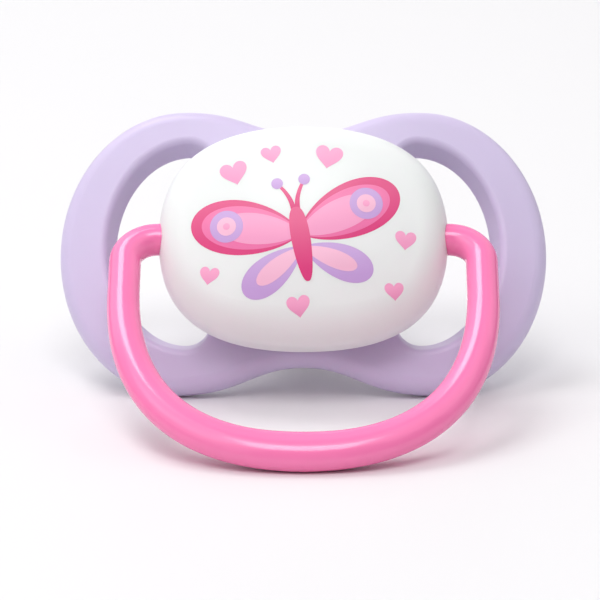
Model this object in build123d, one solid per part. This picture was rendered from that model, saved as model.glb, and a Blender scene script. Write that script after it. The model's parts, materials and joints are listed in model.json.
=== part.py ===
from build123d import *
import os
from math import cos, pi, radians, sin, sqrt

# Baby pacifier: vented butterfly shield, hollow teat, two-shell button and a swinging ring handle.
#
# Each piece is first modelled in the product frame: X across the shield, +Y from the button towards
# the mouth along the teat, Z up the shield, the middle of the shield's domed front face at zero.
# The pieces are then leaned back until the shield's two lower lobes and the teat rest on a table at
# Z = 0, and the ring swings forward until it rests there too. All lengths are in millimetres.

# Shield
SHIELD_HALF_WIDTH = 30.0
SHIELD_HALF_HEIGHT = 18.1
LOBE_X = 15.1                  # where the lobes reach highest and lowest
SHIELD_MIDDLE_Z = 0.25         # the outline sits this much above the hub's middle
WAIST_DIP = 3.2                # how far the outline dips between the lobes
LOBE_EASE = 0.5                # how long it stays level at the lobe
WAIST_EASE = 0.4               # and at the waist
SHIELD_THICKNESS = 3.4
DISH_RADIUS = 130.0            # the shield is a piece of a sphere, hollow towards the face
FRONT_EDGE_RADIUS = 1.9
BACK_EDGE_RADIUS = 1.2

# Vents
VENT_INNER_X = 11.4            # half the width of the hub between them
VENT_CENTRE_X = 14.5
VENT_HALF_WIDTH = 8.5          # from VENT_CENTRE_X outwards
VENT_HALF_HEIGHT = 11.63
VENT_CENTRE_Z = 0.62
VENT_CORNER = 3.1
VENT_GAUGE_Y = 5.2             # the depth at which a vent has the size above
VENT_FLARE = 0.5               # how much it grows, each way, per mm towards the front
VENT_CUT_Y = (-1.0, 9.0)       # the cut for a vent runs between these depths
VENT_FRONT_RADIUS = 0.9
VENT_BACK_RADIUS = 0.5

# Hub
COLLAR_RADIUS = 8.5
COLLAR_HEIGHT = 1.0
COLLAR_EDGE_RADIUS = 0.5
SEAT_RADIUS = 8.9              # recess in the hub's front for the teat's flange
SEAT_DEPTH = 1.5
POST_X = 8.8                   # four posts of the button's base pass through the hub
POST_Z = 9.6
POST_RADIUS = 1.1
POST_HEAD_RADIUS = 1.65
POST_ROOT_Y = -0.6             # a post starts inside the base's wall
POST_HEAD_Y = 4.3
POST_HEAD_HEIGHT = 0.7
POST_HEAD_EDGE_RADIUS = 0.45

# Teat
TEAT_TIP_Y = 27.6
TEAT_WALL = 1.6
TEAT_FLANGE_RADIUS = 8.7
TEAT_FLANGE_THICKNESS = 1.1
NECK_RADIUS = 6.2
NECK_END_Y = 6.5
SADDLE_HALF_HEIGHT = 5.1       # the flattest place, between neck and bulb
BULB_Y = 19.0                  # where the bulb is widest
BULB_HALF_WIDTH = 8.7
BULB_HALF_HEIGHT = 5.9
BULB_DELAY = 1.6               # above 1, the teat stays narrow for longer before it widens
TEAT_STEPS = 9                 # cross-sections in each stretch of the teat
TIP_TURN = 86.0                # the rounding of the tip stops here, at a tiny flat

# Plug that keeps the teat's neck open
PLUG_FLANGE_RADIUS = 8.5
PLUG_FLANGE_FRONT_Y = -0.3
PLUG_STEM_RADIUS = 4.5
PLUG_STEM_END_Y = 8.0
PLUG_BORE_RADIUS = 3.1
PLUG_BORE_FRONT_Y = 1.1
PLUG_VENT_RADIUS = 0.7
PLUG_CHAMFER = 0.5

# Button: a cover in front and a base behind
BUTTON_HALF_WIDTH = 17.6
BUTTON_HALF_HEIGHT = 13.9
BUTTON_FULLNESS = 0.68         # 0.55 draws an ellipse, 1 a rectangle
BUTTON_FRONT_Y = -9.2
BUTTON_BACK_Y = 0.25
BUTTON_FRONT_RADIUS = 4.8
BUTTON_BACK_RADIUS = 2.1
CROWN_RADIUS = 52.0            # doming of the cover's face
BUTTON_WALL = 1.5
PART_Y = -1.2                  # where cover and base meet
LIP_HEIGHT = 1.0
LIP_WALL = 0.8

# Hinge of the ring
HINGE_Y = -2.6
PIN_INNER_X = 12.4
PIN_HEAD_X = 13.0
PIN_HEAD_THICKNESS = 1.4
PIN_HEAD_RADIUS = 2.3
BEARING_INNER_X = 12.2
BEARING_OUTER_X = 17.0
BEARING_HALF_HEIGHT = 4.0
BEARING_FRONT_Y = -6.2

# Ring handle
RING_TUBE_RADIUS = 1.95
RING_HALF_WIDTH = 21.6         # to the middle of the tube
RING_LENGTH = 33.9             # hinge to the middle of the tube at the far end
RING_CORNER = 3.9
RING_SHOULDER = 9.0            # how far down the straight sides run
RING_FULLNESS = 0.65
RING_GRIP_HALF_WIDTH = 2.6     # the tube widens to this at the far end

# Gaps between pieces
RUNNING_GAP = 0.08
SMALL_GAP = 0.04
FAR = 60.0                     # beyond every piece

# Limits and exactness of the searches
LEAN_LIMITS = (20.0, 50.0)     # degrees
SWING_LIMITS = (0.0, 90.0)
ANGLE_STEP = 0.0005
ON_BALL = 0.002                # an edge this near a ball's surface lies in it


def oval(half_width, half_height):
    """A rounded oval of four quarter curves, in X and Z."""
    curves = []
    for sx, sz in ((1, 1), (-1, 1), (-1, -1), (1, -1)):
        w = sx * half_width
        h = sz * half_height
        k = BUTTON_FULLNESS
        curves.append(Bezier((w, 0), (w, k * h), (k * w, h), (0, h)))
    return make_face(curves)


def slab(face, front_y, back_y):
    """A face drawn in X and Z, made solid from depth front_y back to depth back_y."""
    return extrude(Plane.XZ.offset(-back_y) * face, back_y - front_y)


def rod(radius, front_y, back_y, x=0.0, z=0.0):
    """A cylinder along Y."""
    return slab(Pos(x, z) * Circle(radius), front_y, back_y)


def cross_rod(radius, x0, x1):
    """A cylinder along X on the hinge's axis."""
    return extrude(Plane(origin=(x0, HINGE_Y, 0), z_dir=(1, 0, 0)) * Circle(radius), x1 - x0)


def block(x0, x1, front_y, back_y, half_height):
    """A box with its middle at the height Z = 0."""
    middle = Pos((x0 + x1) / 2, (front_y + back_y) / 2, 0)
    return middle * Box(abs(x1 - x0), back_y - front_y, 2 * half_height)


def ball(front_y, radius):
    """A ball behind depth front_y, touching it on the Y axis."""
    return Pos(0, front_y + radius, 0) * Sphere(radius)


def edges_on_ball(shape, front_y, radius, reach=FAR):
    """The edges of a shape that lie in the surface of a ball and within reach of the middle."""
    centre = Vector(0, front_y + radius, 0)
    places = (0.05, 0.35, 0.65, 0.95)
    found = ShapeList()
    for edge in shape.edges():
        off = max(abs((edge @ place - centre).length - radius) for place in places)
        span = max(abs((edge @ place).X) for place in places)
        if off < ON_BALL and span < reach:
            found.append(edge)
    return found


def half_ellipse(side, centre_x, centre_z, reach, half_height):
    """The half of an ellipse that bulges to one side."""
    return EllipticalCenterArc((centre_x, centre_z), reach, half_height,
                               start_angle=-90 * side, arc_size=180)


def shield_outline():
    """Elliptical lobes at each side, joined by shallow waists above and below."""
    edges = []
    for side in (1, -1):
        x = side * LOBE_X
        edges.append(half_ellipse(side, x, 0, SHIELD_HALF_WIDTH - LOBE_X, SHIELD_HALF_HEIGHT))
        for up in (1, -1):
            lobe_z = up * SHIELD_HALF_HEIGHT
            waist_z = up * (SHIELD_HALF_HEIGHT - WAIST_DIP)
            edges.append(Bezier((x, lobe_z), (x * (1 - LOBE_EASE), lobe_z),
                                (x * WAIST_EASE, waist_z), (0, waist_z)))
    return Pos(0, SHIELD_MIDDLE_Z) * make_face(edges)


def vent_outline(side, depth):
    """A vent's outline at a depth: straight along the hub, elliptical on the outside."""
    grown = VENT_FLARE * (VENT_GAUGE_Y - depth)
    half_height = VENT_HALF_HEIGHT + grown
    outer_x = side * VENT_CENTRE_X
    inner_x = side * VENT_INNER_X
    bend = VENT_CORNER * (1 - sin(pi / 4))
    straight = half_height - VENT_CORNER
    edges = [half_ellipse(side, outer_x, VENT_CENTRE_Z, VENT_HALF_WIDTH + grown, half_height)]
    for up in (1, -1):
        z = VENT_CENTRE_Z + up * half_height
        edges.append(ThreePointArc((outer_x, z), (inner_x + side * bend, z - up * bend),
                                   (inner_x, z - up * VENT_CORNER)))
    edges.append(Line((inner_x, VENT_CENTRE_Z + straight), (inner_x, VENT_CENTRE_Z - straight)))
    return make_face(edges)


def make_shield():
    front = (0.0, DISH_RADIUS)
    back = (SHIELD_THICKNESS, DISH_RADIUS - SHIELD_THICKNESS)
    shield = slab(shield_outline(), -FAR, FAR) & ball(*front)
    shield -= ball(*back)
    shield = fillet(edges_on_ball(shield, *front), FRONT_EDGE_RADIUS)
    shield = fillet(edges_on_ball(shield, *back), BACK_EDGE_RADIUS)
    for side in (1, -1):
        ends = [Plane.XZ.offset(-y) * vent_outline(side, y) for y in VENT_CUT_Y]
        shield -= loft(ends, ruled=True)
    band = SHIELD_HALF_WIDTH - FRONT_EDGE_RADIUS
    shield = fillet(edges_on_ball(shield, *front, reach=band), VENT_FRONT_RADIUS)
    shield = fillet(edges_on_ball(shield, *back, reach=band), VENT_BACK_RADIUS)
    collar = rod(COLLAR_RADIUS, SEAT_DEPTH, SHIELD_THICKNESS + COLLAR_HEIGHT)
    shield += fillet(collar.edges().sort_by(Axis.Y)[-1], COLLAR_EDGE_RADIUS)
    shield -= rod(NECK_RADIUS + SMALL_GAP, -FAR, FAR)
    shield -= rod(SEAT_RADIUS, -FAR, SEAT_DEPTH)
    for x in (POST_X, -POST_X):
        for z in (POST_Z, -POST_Z):
            shield -= rod(POST_RADIUS + SMALL_GAP, -FAR, FAR, x, z)
    return shield


def teat_skin(inset):
    """The teat as one solid without its flange, shrunk all round by an inset."""
    sections = []
    for i in range(TEAT_STEPS + 1):
        share = i / TEAT_STEPS
        ease = (1 - cos(pi * share)) / 2
        dent = (NECK_RADIUS - SADDLE_HALF_HEIGHT) * sin(pi * share) ** 2
        y = NECK_END_Y + (BULB_Y - NECK_END_Y) * share
        half_width = NECK_RADIUS + (BULB_HALF_WIDTH - NECK_RADIUS) * ease ** BULB_DELAY
        half_height = NECK_RADIUS + (BULB_HALF_HEIGHT - NECK_RADIUS) * ease - dent
        sections.append((y, half_width - inset, half_height - inset))
    for i in range(1, TEAT_STEPS + 1):
        turn = radians(TIP_TURN) * i / TEAT_STEPS
        y = BULB_Y + (TEAT_TIP_Y - BULB_Y - inset) * sin(turn)
        half_width = (BULB_HALF_WIDTH - inset) * cos(turn)
        half_height = (BULB_HALF_HEIGHT - inset) * cos(turn)
        sections.append((y, half_width, half_height))
    bulb = loft([Plane.XZ.offset(-y) * Ellipse(w, h) for y, w, h in sections])
    flange_front = SEAT_DEPTH - SMALL_GAP - TEAT_FLANGE_THICKNESS
    return bulb + rod(NECK_RADIUS - inset, flange_front, NECK_END_Y)


def make_teat():
    """Hollow teat: a clamped flange, a round neck, a flatter waist and an oval bulb."""
    back = SEAT_DEPTH - SMALL_GAP
    flange = rod(TEAT_FLANGE_RADIUS, back - TEAT_FLANGE_THICKNESS, back)
    return teat_skin(0.0) + flange - teat_skin(TEAT_WALL)


def make_plug():
    flange_back = SEAT_DEPTH - TEAT_FLANGE_THICKNESS - 2 * SMALL_GAP
    stem = rod(PLUG_STEM_RADIUS, PLUG_FLANGE_FRONT_Y, PLUG_STEM_END_Y)
    stem = chamfer(stem.edges().sort_by(Axis.Y)[-1], PLUG_CHAMFER)
    plug = stem + rod(PLUG_FLANGE_RADIUS, PLUG_FLANGE_FRONT_Y, flange_back)
    plug -= rod(PLUG_BORE_RADIUS, PLUG_BORE_FRONT_Y, FAR)
    return plug - rod(PLUG_VENT_RADIUS, -FAR, FAR)


def hinge_room(side):
    """The space one end of the ring turns in: a bore for its arm and a wider one for its head."""
    inner = PIN_HEAD_X - RUNNING_GAP
    outer = PIN_HEAD_X + PIN_HEAD_THICKNESS + RUNNING_GAP
    bore = cross_rod(RING_TUBE_RADIUS + RUNNING_GAP, 0, FAR)
    room = bore + cross_rod(PIN_HEAD_RADIUS + RUNNING_GAP, inner, outer)
    room &= block(PIN_INNER_X - SMALL_GAP, FAR, -FAR, FAR, FAR)
    return room if side > 0 else mirror(room, Plane.YZ)


def button_body(inset):
    """The whole button as one pebble, shrunk all round by an inset."""
    outline = oval(BUTTON_HALF_WIDTH - inset, BUTTON_HALF_HEIGHT - inset)
    crown = (BUTTON_FRONT_Y + inset, CROWN_RADIUS - inset)
    body = slab(outline, -FAR, BUTTON_BACK_Y - inset) & ball(*crown)
    body = fillet(edges_on_ball(body, *crown), BUTTON_FRONT_RADIUS - inset)
    return fillet(body.edges().group_by(Axis.Y)[-1], BUTTON_BACK_RADIUS - inset)


def make_cover(body):
    cover = body & block(-FAR, FAR, -FAR, PART_Y - SMALL_GAP, FAR)
    bearings = block(-BEARING_OUTER_X, BEARING_OUTER_X, BEARING_FRONT_Y, PART_Y - SMALL_GAP,
                     BEARING_HALF_HEIGHT)
    bearings -= block(-BEARING_INNER_X, BEARING_INNER_X, -FAR, FAR, FAR)
    hollow = oval(BUTTON_HALF_WIDTH - BUTTON_WALL, BUTTON_HALF_HEIGHT - BUTTON_WALL)
    crown = (BUTTON_FRONT_Y + BUTTON_WALL, CROWN_RADIUS - BUTTON_WALL)
    room = slab(hollow, -FAR, 0) & ball(*crown)
    room = fillet(edges_on_ball(room, *crown), BUTTON_FRONT_RADIUS - BUTTON_WALL)
    cover -= room - bearings
    return cover - hinge_room(1) - hinge_room(-1)


def make_base(body):
    base = body & block(-FAR, FAR, PART_Y, FAR, FAR)
    outer = BUTTON_WALL + SMALL_GAP
    inner = outer + LIP_WALL
    lip = oval(BUTTON_HALF_WIDTH - outer, BUTTON_HALF_HEIGHT - outer)
    lip -= oval(BUTTON_HALF_WIDTH - inner, BUTTON_HALF_HEIGHT - inner)
    lip -= Rectangle(FAR, 2 * (BEARING_HALF_HEIGHT + SMALL_GAP))
    base += slab(lip, PART_Y - LIP_HEIGHT, PART_Y)
    base -= rod(PLUG_FLANGE_RADIUS + SMALL_GAP, PLUG_FLANGE_FRONT_Y - SMALL_GAP, FAR)
    for side in (1, -1):
        base -= hinge_room(side)
        for z in (POST_Z, -POST_Z):
            x = side * POST_X
            base += rod(POST_RADIUS, POST_ROOT_Y, POST_HEAD_Y, x, z)
            head = rod(POST_HEAD_RADIUS, POST_HEAD_Y, POST_HEAD_Y + POST_HEAD_HEIGHT, x, z)
            base += fillet(head.edges().sort_by(Axis.Y)[-1], POST_HEAD_EDGE_RADIUS)
    return base


def make_ring():
    """One half of the ring, swept from its pin to the middle of the grip, and its mirror image."""
    w = RING_HALF_WIDTH
    length = RING_LENGTH
    bend = RING_CORNER * (1 - sin(pi / 4))
    reach = RING_FULLNESS * (length - RING_SHOULDER)
    upper = [Line((PIN_INNER_X, 0), (w - RING_CORNER, 0)),
             ThreePointArc((w - RING_CORNER, 0), (w - bend, -bend), (w, -RING_CORNER)),
             Line((w, -RING_CORNER), (w, -RING_SHOULDER))]
    lower = [Bezier((w, -RING_SHOULDER), (w, -RING_SHOULDER - reach),
                    (RING_FULLNESS * w, -length), (0, -length))]
    drawing = Plane(origin=(0, HINGE_Y, 0), x_dir=(1, 0, 0), z_dir=(0, -1, 0))
    upper = Wire([drawing * edge for edge in upper])
    lower = Wire([drawing * edge for edge in lower])
    start = Plane(origin=upper @ 0, z_dir=upper % 0)
    side = Plane(origin=lower @ 0, x_dir=(1, 0, 0), z_dir=lower % 0)
    grip = Plane(origin=lower @ 1, x_dir=(0, 0, 1), z_dir=lower % 1)
    half = sweep(start * Circle(RING_TUBE_RADIUS), path=upper)
    half += sweep([side * Circle(RING_TUBE_RADIUS),
                   grip * Ellipse(RING_GRIP_HALF_WIDTH, RING_TUBE_RADIUS)],
                  path=lower, multisection=True)
    half += cross_rod(PIN_HEAD_RADIUS, PIN_HEAD_X, PIN_HEAD_X + PIN_HEAD_THICKNESS)
    return half + mirror(half, Plane.YZ)


def lean_back(angle):
    """The turn about X that takes the top of the shield backwards by an angle in degrees."""
    return Rot(X=-angle)


def lowest(shape, angle):
    """The lowest point of a shape once it is leaned back."""
    return (lean_back(angle) * shape).bounding_box().min.Z


def resting_lean(shield, teat):
    """The lean, in degrees, at which shield and teat touch the table together."""
    low, high = LEAN_LIMITS
    while high - low > ANGLE_STEP:
        middle = (low + high) / 2
        if lowest(teat, middle) > lowest(shield, middle):
            low = middle
        else:
            high = middle
    return (low + high) / 2


def resting_swing(hinge_height):
    """The ring's angle, in degrees forward of straight down, at which its grip touches the table."""
    low, high = SWING_LIMITS
    while high - low > ANGLE_STEP:
        middle = (low + high) / 2
        turn = radians(middle)
        across = RING_GRIP_HALF_WIDTH * cos(turn)
        along = RING_TUBE_RADIUS * sin(turn)
        half_depth = sqrt(across ** 2 + along ** 2)
        if RING_LENGTH * cos(turn) + half_depth > hinge_height:
            low = middle
        else:
            high = middle
    return (low + high) / 2


body = button_body(0.0)
pieces = {
    "shield": make_shield(),
    "teat": make_teat(),
    "plug": make_plug(),
    "button_base": make_base(body),
    "button_cover": make_cover(body),
    "ring_handle": make_ring(),
}

lean = resting_lean(pieces["shield"], pieces["teat"])
floor = lowest(pieces["shield"], lean)
hinge = lean_back(lean) * Pos(0, HINGE_Y, 0)
swing = resting_swing(hinge.position.Z - floor)
hang = Pos(0, HINGE_Y, 0) * Rot(X=lean - swing) * Pos(0, -HINGE_Y, 0)
pieces["ring_handle"] = hang * pieces["ring_handle"]

boxes = [(lean_back(lean) * piece).bounding_box() for piece in pieces.values()]
front = min(box.min.Y for box in boxes)
back = max(box.max.Y for box in boxes)
to_origin = Pos(0, -(front + back) / 2, -floor)

os.makedirs("parts", exist_ok=True)
for name, piece in pieces.items():
    export_step(to_origin * lean_back(lean) * piece, f"parts/{name}.step")

hinge_at = (to_origin * hinge).position
print(f"lean {lean:.3f} degrees, swing {swing:.3f} degrees forward of straight down")
print(f"hinge at Y {hinge_at.Y:.4f}, Z {hinge_at.Z:.4f}")
print(f"product frame's origin at Y {to_origin.position.Y:.4f}, Z {to_origin.position.Z:.4f}")
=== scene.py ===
import json
import math

import bpy
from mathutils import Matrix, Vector
from mathutils.bvhtree import BVHTree
from mathutils.interpolate import poly_3d_calc


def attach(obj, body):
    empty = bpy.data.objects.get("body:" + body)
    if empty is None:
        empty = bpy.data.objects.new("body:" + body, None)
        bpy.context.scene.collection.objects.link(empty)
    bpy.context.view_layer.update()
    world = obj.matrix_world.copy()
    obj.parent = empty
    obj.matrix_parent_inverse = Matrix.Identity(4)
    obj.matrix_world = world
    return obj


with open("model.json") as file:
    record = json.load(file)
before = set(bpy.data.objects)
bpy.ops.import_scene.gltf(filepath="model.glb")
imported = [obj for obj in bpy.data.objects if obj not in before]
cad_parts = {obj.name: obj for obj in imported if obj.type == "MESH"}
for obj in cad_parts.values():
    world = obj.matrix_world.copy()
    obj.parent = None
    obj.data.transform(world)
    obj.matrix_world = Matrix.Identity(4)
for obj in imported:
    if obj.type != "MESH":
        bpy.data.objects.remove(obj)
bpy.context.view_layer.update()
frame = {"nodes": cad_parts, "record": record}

# Colours, linear RGB
LILAC = (0.633, 0.551, 0.762)
PINK = (0.980, 0.212, 0.470)
WHITE = (0.862, 0.880, 0.874)
SILICONE = (0.930, 0.920, 0.900)
SILICONE_PALE = (0.960, 0.955, 0.940)
FLOOR = (0.805, 0.795, 0.810)
INKS = {
    "magenta": (0.770, 0.040, 0.215),
    "rose": (0.900, 0.165, 0.410),
    "blush": (0.960, 0.360, 0.600),
    "petal": (0.970, 0.520, 0.700),
    "violet": (0.600, 0.370, 0.740),
}

# Surfaces. The scale of a noise is how many of its features go into a metre.
FADE_FROM = 0.2                    # the part of a value's range over which a colour or a gloss changes
FADE_TO = 0.8
CLOUD_SCALE = 90.0
CLOUD_STRENGTH = 0.015
GLOSS_SCALE = 500.0
GLOSS_SPREAD = 0.02
SKIN_SCALE = 700.0
SKIN_DEPTH = 0.00004
SKIN_STRENGTH = 0.1
SCATTER = (0.0015, 0.0012, 0.0014)  # how far red, green and blue light spread inside plastic, in metres
PLASTIC_IOR = 1.49
RING_IOR = 1.56
SILICONE_IOR = 1.41
SILICONE_CLEARNESS = 0.75
SILICONE_CLOUD_SCALE = 120.0
SILICONE_GLOSS_SCALE = 300.0
SILICONE_GLOSS = (0.20, 0.28)
INK_GLOSS_SCALE = 400.0
INK_GLOSS = (0.34, 0.40)
INK_PAINTED_TOP_LIGHT = 0.06                    # painted light: how much white is added from the bottom of a shape to its top, so that each shape looks lit from above
FLOOR_ROUGHNESS = 0.6
FLOOR_SIDE = 6.0
FLOOR_MIDDLE = (0, 1.5, 0)

# The print on the button's cover: a butterfly among hearts. Its sizes are in millimetres, in a flat
# drawing seen along the teat's axis: across, then up, from the middle of the cover.
MM = 0.001
DRAWING_DISTANCE = 0.1             # metres from the mouthpiece to the drawing, in front of the cover
INK_STEP = 0.012                   # each layer of ink stands this much above the one below it
INK_ROOT = 0.05                    # how far its underside reaches into the cover
OUTLINE_POINTS = 96
INK_RINGS = 8                      # rings of points between an outline and its middle
BUTTERFLY_PLACE = (-0.2, -2.45)
BUTTERFLY_TILT = math.radians(9.7)

BODY_LENGTH = 9.3
BODY_HALF_WIDTH = 1.35
BODY_TAPER = 0.32                  # how much narrower it gets towards its tail
BODY_BLUNTNESS = 0.8               # 1 is an ellipse, smaller is blunter
BODY_LAYER = 4

UPPER_WING = {"root": (0.0, 1.3), "lift": math.radians(16.5), "point": 0.45}   # point 0 is an ellipse
LOWER_WING = {"root": (0.0, -0.4), "lift": math.radians(-30.0), "point": 0.7}
UPPER_LAYERS = (                   # name, ink, length, half the width
    ("rim", "magenta", 13.2, 3.45),
    ("panel", "rose", 11.9, 2.70),
    ("light", "blush", 9.8, 1.95),
)
LOWER_LAYERS = (
    ("rim", "violet", 9.0, 2.15),
    ("light", "petal", 7.0, 1.10),
)
SPOT_REACH = 8.9                   # from the wing's root to the middle of its round spot
SPOT_RINGS = (                     # name, ink, radius
    ("ring", "violet", 2.0),
    ("middle", "petal", 1.15),
    ("dot", "blush", 0.42),
)

ANTENNA_ROOT = (0.22, 4.2)
ANTENNA_END = (1.65, 8.0)
ANTENNA_BEND = 0.35                # how far the middle of an antenna bows inwards
ANTENNA_HALF_WIDTH = 0.27
ANTENNA_WIDEST = 1.2               # at the head, as a share of the usual width
ANTENNA_NARROWING = 0.4            # how much of it is gone at the knob
ANTENNA_LAYER = 1
KNOB_RADIUS = 0.7
KNOB_LAYER = 2

HEART_TOP = 2.8                    # smaller is fuller
HEART_SIDES = 2.1
HEART_LAYER = 1
HEARTS = (                         # across, up, width, tilt in degrees
    (-8.4, 6.9, 3.3, 15),
    (-3.9, 9.2, 2.45, 12),
    (3.1, 8.9, 3.3, -10),
    (12.3, -1.5, 2.55, -4),
    (10.9, -7.8, 2.3, 6),
    (-0.6, -9.85, 2.8, 9),
    (-11.3, -5.9, 2.35, -11),
)

# Lights. Azimuth 0 is the camera's side and 90 the right.
WORLD_STRENGTH = 0.10
LIGHT_DISTANCE = 1.0
SOFTBOXES = (                      # name, azimuth and elevation in degrees, width in metres, power in watts
    ("overhead", -130, 65, 0.42, 3.2),
    ("high_front", 0, 62, 0.38, 2.5),
    ("high_left", -60, 60, 0.9, 2.7),
    ("high_right", 60, 60, 0.9, 1.9),
    ("high_back", 180, 60, 0.6, 0.4),
    ("front_left", -45, 35, 0.9, 1.9),
    ("back_left", -135, 35, 0.8, 1.9),
    ("back_right", 135, 35, 0.8, 1.3),
    ("left", -90, 30, 0.8, 0.6),
    ("right", 90, 30, 0.8, 0.7),
    ("low_back", 180, 12, 0.5, 0.9),
    ("low_front", 0, 8, 0.4, 0.2),
)

# Camera
CAMERA_ELEVATION = math.radians(17.3)
CAMERA_DISTANCE = 0.480
CAMERA_NEAREST = 0.01
PIXELS_PER_METRE = 8200.0          # at the camera's target
TARGET = Vector((0.0, 0.003, 0.015))
IMAGE_SIDE = 600
SENSOR_MM = 36.0
SHIFT_X = -0.0057
SHIFT_Y = -0.050


def new_material(name):
    material = bpy.data.materials.new(name)
    material.use_nodes = True
    return material, material.node_tree, material.node_tree.nodes["Principled BSDF"]


def noise(tree, scale, detail=3.0):
    """Noise that is fixed to the object's own coordinates, in metres."""
    place = tree.nodes.new("ShaderNodeTexCoord")
    texture = tree.nodes.new("ShaderNodeTexNoise")
    texture.inputs["Scale"].default_value = scale
    texture.inputs["Detail"].default_value = detail
    tree.links.new(place.outputs["Object"], texture.inputs["Vector"])
    return texture.outputs["Fac"]


def spread(tree, value, low, high):
    """A number that goes from low to high as the value goes through the fade."""
    node = tree.nodes.new("ShaderNodeMapRange")
    node.interpolation_type = "SMOOTHSTEP"
    node.inputs["From Min"].default_value = FADE_FROM
    node.inputs["From Max"].default_value = FADE_TO
    node.inputs["To Min"].default_value = low
    node.inputs["To Max"].default_value = high
    tree.links.new(value, node.inputs["Value"])
    return node.outputs["Result"]


def tint(tree, value, dark, light):
    """A colour that goes from dark to light as the value goes through the fade."""
    ramp = tree.nodes.new("ShaderNodeValToRGB")
    ramp.color_ramp.elements[0].position = FADE_FROM
    ramp.color_ramp.elements[0].color = (*dark, 1)
    ramp.color_ramp.elements[1].position = FADE_TO
    ramp.color_ramp.elements[1].color = (*light, 1)
    tree.links.new(value, ramp.inputs["Fac"])
    return ramp.outputs["Color"]


def bump(tree, value, strength, depth):
    node = tree.nodes.new("ShaderNodeBump")
    node.inputs["Strength"].default_value = strength
    node.inputs["Distance"].default_value = depth
    tree.links.new(value, node.inputs["Height"])
    return node.outputs["Normal"]


def moulded_plastic(name, colour, rough, wavy=True, subsurface=0.0, ior=PLASTIC_IOR):
    """Moulded plastic: faint cloudiness of colour, uneven gloss and, unless it is polished, a wavy skin."""
    material, tree, shader = new_material(name)
    dark = tuple(channel * (1 - CLOUD_STRENGTH) for channel in colour)
    light = tuple(min(1.0, channel * (1 + CLOUD_STRENGTH)) for channel in colour)
    cloud = tint(tree, noise(tree, CLOUD_SCALE), dark, light)
    tree.links.new(cloud, shader.inputs["Base Color"])
    gloss = spread(tree, noise(tree, GLOSS_SCALE), rough - GLOSS_SPREAD, rough + GLOSS_SPREAD)
    tree.links.new(gloss, shader.inputs["Roughness"])
    if wavy:
        skin = bump(tree, noise(tree, SKIN_SCALE, 1.0), SKIN_STRENGTH, SKIN_DEPTH)
        tree.links.new(skin, shader.inputs["Normal"])
    shader.inputs["IOR"].default_value = ior
    shader.inputs["Subsurface Weight"].default_value = subsurface
    shader.inputs["Subsurface Radius"].default_value = SCATTER
    shader.inputs["Subsurface Scale"].default_value = 1.0
    return material


def silicone(name):
    """Clear, slightly milky silicone rubber."""
    material, tree, shader = new_material(name)
    cloud = tint(tree, noise(tree, SILICONE_CLOUD_SCALE), SILICONE, SILICONE_PALE)
    tree.links.new(cloud, shader.inputs["Base Color"])
    gloss = spread(tree, noise(tree, SILICONE_GLOSS_SCALE), *SILICONE_GLOSS)
    tree.links.new(gloss, shader.inputs["Roughness"])
    shader.inputs["IOR"].default_value = SILICONE_IOR
    shader.inputs["Transmission Weight"].default_value = SILICONE_CLEARNESS
    return material


def ink(name, colour):
    """Printed ink with painted light: paler towards the top of each shape, as if lit from above, with a
    slightly uneven gloss.
    """
    material, tree, shader = new_material("ink_" + name)
    place = tree.nodes.new("ShaderNodeTexCoord")
    split = tree.nodes.new("ShaderNodeSeparateXYZ")
    tree.links.new(place.outputs["Generated"], split.inputs["Vector"])
    # painted light: each shape is darkest at its bottom and whitest at its top, like light falling from
    # above
    dark = tuple(channel * (1 - INK_PAINTED_TOP_LIGHT) for channel in colour)
    light = tuple(channel + INK_PAINTED_TOP_LIGHT for channel in dark)
    fade = tint(tree, split.outputs["Z"], dark, light)
    tree.links.new(fade, shader.inputs["Base Color"])
    gloss = spread(tree, noise(tree, INK_GLOSS_SCALE), *INK_GLOSS)
    tree.links.new(gloss, shader.inputs["Roughness"])
    shader.inputs["IOR"].default_value = PLASTIC_IOR
    return material


def dress(node, material):
    """Gives a CAD node one material."""
    slots = frame["nodes"][node].data.materials
    slots.clear()
    slots.append(material)


def dress_frame():
    shell = moulded_plastic("button_white", WHITE, rough=0.36, subsurface=0.25)
    dress("shield", moulded_plastic("shield_lilac", LILAC, rough=0.40, subsurface=0.35))
    dress("ring_handle", moulded_plastic("ring_pink", PINK, rough=0.16, wavy=False, ior=RING_IOR))
    dress("button_cover", shell)
    dress("button_base", shell)
    dress("plug", moulded_plastic("plug_white", WHITE, rough=0.4))
    dress("teat", silicone("teat_silicone"))


def mount(name):
    return next(m for m in frame["record"]["mounts"] if m["name"] == name)


class CoverSkin:
    """The outside of the button's cover, and the flat drawing that is printed on it."""

    def __init__(self):
        self.mesh = frame["nodes"]["button_cover"].data
        corners = [vertex.co for vertex in self.mesh.vertices]
        triangles = [tuple(face.vertices) for face in self.mesh.polygons]
        self.tree = BVHTree.FromPolygons(corners, triangles)
        mouth = mount("mouthpiece")
        self.inwards = Vector(mouth["axis"]).normalized()
        self.across = Vector((1, 0, 0))
        self.up = self.across.cross(self.inwards)
        self.start = Vector(mouth["pos_m"]) - self.inwards * DRAWING_DISTANCE

    def point(self, x, z, rise):
        """The place of a point of the drawing, some way above the skin, and the skin's normal there."""
        origin = self.start + self.across * x * MM + self.up * z * MM
        hit, _, face, _ = self.tree.ray_cast(origin, self.inwards)
        return hit - self.inwards * rise * MM, self.normal(face, hit)

    def normal(self, index, hit):
        """The smooth normal inside a triangle, from the normals of its corners."""
        face = self.mesh.polygons[index]
        places = [self.mesh.vertices[i].co for i in face.vertices]
        weights = poly_3d_calc(places, hit)
        total = Vector()
        for weight, loop in zip(weights, face.loop_indices):
            total += self.mesh.corner_normals[loop].vector * weight
        return total.normalized()


def between(outline, spine, share):
    """An outline, each point of which has gone some share of the way to its point on the spine."""
    pairs = zip(outline, spine)
    return [(x + (mx - x) * share, z + (mz - z) * share) for (x, z), (mx, mz) in pairs]


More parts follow.
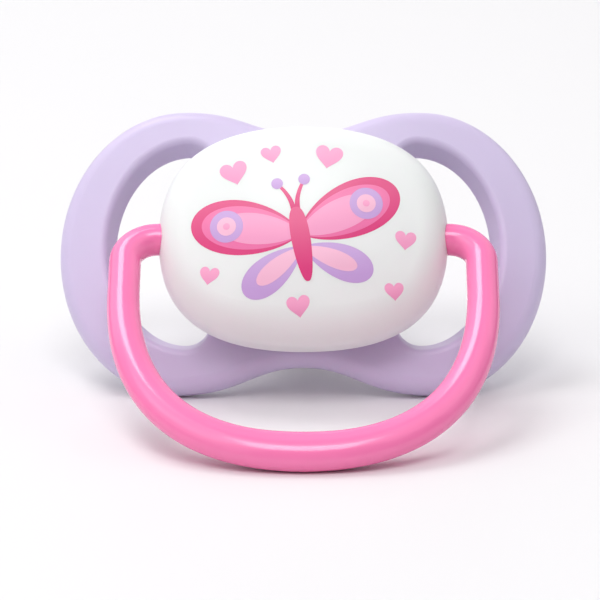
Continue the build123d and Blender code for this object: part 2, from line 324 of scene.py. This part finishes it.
def shape_faces(count):
    """The faces of a piece of ink: rings that close in on its spine, a rim and an underside."""
    top = INK_RINGS * count
    faces = []
    for i in range(count):
        after = (i + 1) % count
        for ring in range(0, top - count, count):
            faces.append((ring + i, ring + after, ring + count + after, ring + count + i))
        faces.append((i, top + i, top + after, after))
    faces.append(tuple(range(top - count, top)))
    faces.append(tuple(range(top + count - 1, top - 1, -1)))
    return faces


def print_shape(skin, name, outline, spine, colour, layer):
    """One closed, very thin piece of ink on the cover. Each point of the outline has one on the spine."""
    rings = []
    for ring in range(INK_RINGS):
        rings += between(outline, spine, ring / INK_RINGS)
    on_top = [skin.point(x, z, INK_STEP * layer) for x, z in rings]
    below = [skin.point(x, z, -INK_ROOT) for x, z in outline]
    faces = shape_faces(len(outline))
    mesh = bpy.data.meshes.new(name)
    mesh.from_pydata([place for place, _ in on_top + below], [], faces)
    mesh.polygons.foreach_set("use_smooth", [True] * len(faces))
    mesh.normals_split_custom_set_from_vertices([normal for _, normal in on_top + below])
    mesh.materials.append(colour)
    piece = bpy.data.objects.new(name, mesh)
    bpy.context.scene.collection.objects.link(piece)
    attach(piece, "soother")


def turns():
    """Equal steps once round a circle, in radians."""
    return [2 * math.pi * i / OUTLINE_POINTS for i in range(OUTLINE_POINTS)]


def power(value, exponent):
    """A power that keeps the sign of the value."""
    return math.copysign(abs(value) ** exponent, value)


def drop(length, half_width, point):
    """A drop with its narrow end at the origin and its round end on the right."""
    widths = [math.sin(turn) * math.sin(turn / 2) ** point for turn in turns()]
    scale = half_width / max(widths)
    return [(length * (1 - math.cos(turn)) / 2, -scale * width) for turn, width in zip(turns(), widths)]


def disc(radius):
    return [(radius * math.cos(turn), radius * math.sin(turn)) for turn in turns()]


def heart(width):
    """The usual heart curve, which is 32 units wide, with fuller shoulders and straighter sides."""
    points = []
    for turn in turns():
        fullness = HEART_TOP if math.cos(turn) > 0 else HEART_SIDES
        x = -16 * power(math.sin(turn), fullness)
        z = 13 * math.cos(turn) - 5 * math.cos(2 * turn) - 2 * math.cos(3 * turn) - math.cos(4 * turn)
        points.append((x * width / 32, z * width / 32))
    return points


def antenna():
    """The two sides of a bowed strip from the head to the knob, and its middle line for each of them."""
    middle = []
    half_widths = []
    steps = OUTLINE_POINTS // 2
    for i in range(steps):
        share = i / (steps - 1)
        bow = ANTENNA_BEND * math.sin(math.pi * share)
        x = ANTENNA_ROOT[0] + (ANTENNA_END[0] - ANTENNA_ROOT[0]) * share - bow
        z = ANTENNA_ROOT[1] + (ANTENNA_END[1] - ANTENNA_ROOT[1]) * share
        middle.append((x, z))
        half_widths.append(ANTENNA_HALF_WIDTH * (ANTENNA_WIDEST - ANTENNA_NARROWING * share))
    right = [(x + half, z) for (x, z), half in zip(middle, half_widths)]
    left = [(x - half, z) for (x, z), half in zip(middle, half_widths)]
    return right + left[::-1], middle + middle[::-1]


def body_outline():
    """A blunt-ended body that narrows towards its tail."""
    points = []
    for turn in turns():
        up = math.sin(turn)
        half_width = BODY_HALF_WIDTH * (1 - BODY_TAPER * (1 - up) / 2)
        across = power(math.cos(turn), BODY_BLUNTNESS)
        points.append((half_width * across, up * BODY_LENGTH / 2))
    return points


def placed(points, angle, x, z):
    """Points of the drawing turned about the origin and then moved."""
    c, s = math.cos(angle), math.sin(angle)
    return [(x + px * c - pz * s, z + px * s + pz * c) for px, pz in points]


def on_butterfly(points):
    return placed(points, BUTTERFLY_TILT, *BUTTERFLY_PLACE)


def mirrored(points, side):
    """The points themselves on the right side, 1, and their mirror image on the left side, -1."""
    return points if side > 0 else [(-x, z) for x, z in reversed(points)]


def print_wing(skin, inks, name, wing, layers, side):
    for layer, (part, colour, length, half_width) in enumerate(layers, 1):
        outline = placed(drop(length, half_width, wing["point"]), wing["lift"], *wing["root"])
        middle = placed([(length / 2, 0)], wing["lift"], *wing["root"])
        outline = on_butterfly(mirrored(outline, side))
        spine = on_butterfly(mirrored(middle, side)) * OUTLINE_POINTS
        print_shape(skin, f"print_{name}_{part}", outline, spine, inks[colour], layer)


def print_disc(skin, name, centre, radius, colour, layer):
    outline = placed(disc(radius), 0.0, *centre)
    print_shape(skin, name, outline, [centre] * OUTLINE_POINTS, colour, layer)


def print_spot(skin, inks, name, side):
    place = placed([(SPOT_REACH, 0)], UPPER_WING["lift"], *UPPER_WING["root"])
    centre = on_butterfly(mirrored(place, side))[0]
    for layer, (part, colour, radius) in enumerate(SPOT_RINGS, len(UPPER_LAYERS) + 1):
        print_disc(skin, f"print_{name}_spot_{part}", centre, radius, inks[colour], layer)


def print_antenna(skin, inks, hand, side):
    strip, spine = (on_butterfly(mirrored(line, side)) for line in antenna())
    print_shape(skin, f"print_antenna_{hand}", strip, spine, inks["magenta"], ANTENNA_LAYER)
    end = on_butterfly(mirrored([ANTENNA_END], side))[0]
    print_disc(skin, f"print_knob_{hand}", end, KNOB_RADIUS, inks["violet"], KNOB_LAYER)


def print_butterfly(skin, inks):
    for side, hand in ((1, "right"), (-1, "left")):
        print_wing(skin, inks, f"lower_wing_{hand}", LOWER_WING, LOWER_LAYERS, side)
        print_wing(skin, inks, f"upper_wing_{hand}", UPPER_WING, UPPER_LAYERS, side)
        print_spot(skin, inks, f"upper_wing_{hand}", side)
        print_antenna(skin, inks, hand, side)
    body = on_butterfly(body_outline())
    spine = [BUTTERFLY_PLACE] * OUTLINE_POINTS
    print_shape(skin, "print_body", body, spine, inks["magenta"], BODY_LAYER)


def print_hearts(skin, inks):
    for number, (x, z, width, tilt) in enumerate(HEARTS, 1):
        outline = placed(heart(width), math.radians(tilt), x, z)
        spine = [(x, z)] * OUTLINE_POINTS
        print_shape(skin, f"print_heart_{number}", outline, spine, inks["blush"], HEART_LAYER)


def print_cover():
    skin = CoverSkin()
    inks = {name: ink(name, colour) for name, colour in INKS.items()}
    print_butterfly(skin, inks)
    print_hearts(skin, inks)


def make_floor():
    material, _, shader = new_material("floor")
    shader.inputs["Base Color"].default_value = (*FLOOR, 1)
    shader.inputs["Roughness"].default_value = FLOOR_ROUGHNESS
    bpy.ops.mesh.primitive_plane_add(size=FLOOR_SIDE, location=FLOOR_MIDDLE)
    floor = bpy.context.object
    floor.name = "floor"
    floor.data.materials.append(material)


def direction(azimuth, elevation):
    """The direction from the object to a light or to the camera, from angles in radians."""
    level = math.cos(elevation)
    return Vector((math.sin(azimuth) * level, -math.cos(azimuth) * level, math.sin(elevation)))


def area_light(name, azimuth, elevation, size, watts):
    """A square softbox that faces the object."""
    light = bpy.data.lights.new(name, "AREA")
    light.shape = "SQUARE"
    light.size = size
    light.energy = watts
    lamp = bpy.data.objects.new(name, light)
    away = direction(math.radians(azimuth), math.radians(elevation))
    lamp.location = away * LIGHT_DISTANCE
    lamp.rotation_euler = away.to_track_quat("Z", "Y").to_euler()
    bpy.context.scene.collection.objects.link(lamp)


def make_lights():
    world = bpy.data.worlds.new("studio")
    bpy.context.scene.world = world
    world.use_nodes = True
    background = world.node_tree.nodes["Background"]
    background.inputs["Color"].default_value = (1, 1, 1, 1)
    background.inputs["Strength"].default_value = WORLD_STRENGTH
    for name, azimuth, elevation, size, watts in SOFTBOXES:
        area_light(name, azimuth, elevation, size, watts)


def make_camera():
    data = bpy.data.cameras.new("camera")
    data.sensor_width = SENSOR_MM
    data.lens = SENSOR_MM * PIXELS_PER_METRE * CAMERA_DISTANCE / IMAGE_SIDE
    data.shift_x = SHIFT_X
    data.shift_y = SHIFT_Y
    data.clip_start = CAMERA_NEAREST
    camera = bpy.data.objects.new("camera", data)
    away = direction(0.0, CAMERA_ELEVATION)
    camera.location = TARGET + away * CAMERA_DISTANCE
    camera.rotation_euler = (-away).to_track_quat("-Z", "Y").to_euler()
    bpy.context.scene.collection.objects.link(camera)
    bpy.context.scene.camera = camera


dress_frame()
print_cover()
make_floor()
make_lights()
make_camera()

scene = bpy.context.scene
scene.view_settings.view_transform = "Standard"
